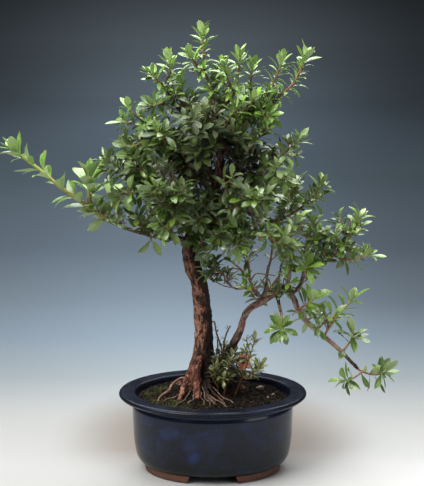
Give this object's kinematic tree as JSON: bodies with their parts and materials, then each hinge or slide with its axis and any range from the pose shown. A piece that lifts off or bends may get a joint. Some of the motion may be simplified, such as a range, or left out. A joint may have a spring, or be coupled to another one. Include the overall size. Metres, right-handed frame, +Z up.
{
  "type": "potted bonsai azalea",
  "caption": "Small azalea tree with a curved trunk, leafy sprays and surface roots, growing in soil in an oval glazed pot with feet and drain holes.",
  "frame": {"origin": "under the middle of the whole object's box, on the surface that the pot's feet stand on", "axes": "+Z up, along the tree's height; +X to the right of the front view, along the pot's long side; +Y to the back, along the shortest side"},
  "size_m": [0.4282, 0.2002, 0.4898],
  "materials": {
    "glaze": "glossy dark blue glaze",
    "soil": "matt, granular",
    "bark": "rough, flaking",
    "leaf": "satin, waxy",
    "young_leaf": "satin, waxy",
    "petal": "soft, faded",
    "screen": "matt"
  },
  "bodies": {
    "root": {"pot": "glaze", "soil": "soil", "trunk": "bark", "screen_left": "screen", "screen_right": "screen", "bloom": "petal", "spray_leader": "young_leaf", "spray_crown_nw": "young_leaf", "spray_crown_back": "leaf", "spray_crown_w": "young_leaf", "spray_crown_n": "young_leaf", "spray_crown_e": "young_leaf", "spray_crown_far": "young_leaf", "spray_front_up_a": "leaf", "spray_front_up_b": "leaf", "spray_front_up_c": "leaf", "spray_back_up_a": "leaf", "spray_back_up_b": "leaf", "spray_left_up_a": "leaf", "spray_left_up_b": "leaf", "spray_left_up_c": "leaf", "spray_left_mid_a": "leaf", "spray_left_mid_b": "leaf", "spray_left_back_a": "leaf", "spray_left_back_b": "leaf", "spray_long_left": "young_leaf", "spray_left_low_a": "leaf", "spray_left_low_b": "leaf", "spray_front_left": "leaf", "spray_back_left_a": "leaf", "spray_back_left_b": "leaf", "spray_back_right_a": "leaf", "spray_back_right_b": "leaf", "spray_right_a": "leaf", "spray_right_b": "leaf", "spray_east_a": "leaf", "spray_east_b": "leaf", "spray_east_c": "leaf", "spray_low_a": "leaf", "spray_low_b": "leaf", "spray_front_right": "leaf", "spray_spur_a": "leaf", "spray_spur_b": "leaf", "spray_thin_a": "leaf", "spray_thin_b": "leaf", "spray_thin_c": "leaf", "spray_mid_up": "leaf", "spray_upright": "leaf", "spray_whorl": "leaf", "spray_far_e": "leaf", "spray_knob_e": "leaf", "spray_high_a": "leaf", "spray_high_b": "leaf", "spray_high_c": "leaf", "spray_cascade_back": "leaf", "spray_cascade_tip": "leaf", "spray_rosette": "leaf", "spray_sucker_a": "leaf", "spray_sucker_b": "leaf"}
  },
  "joints": []
}
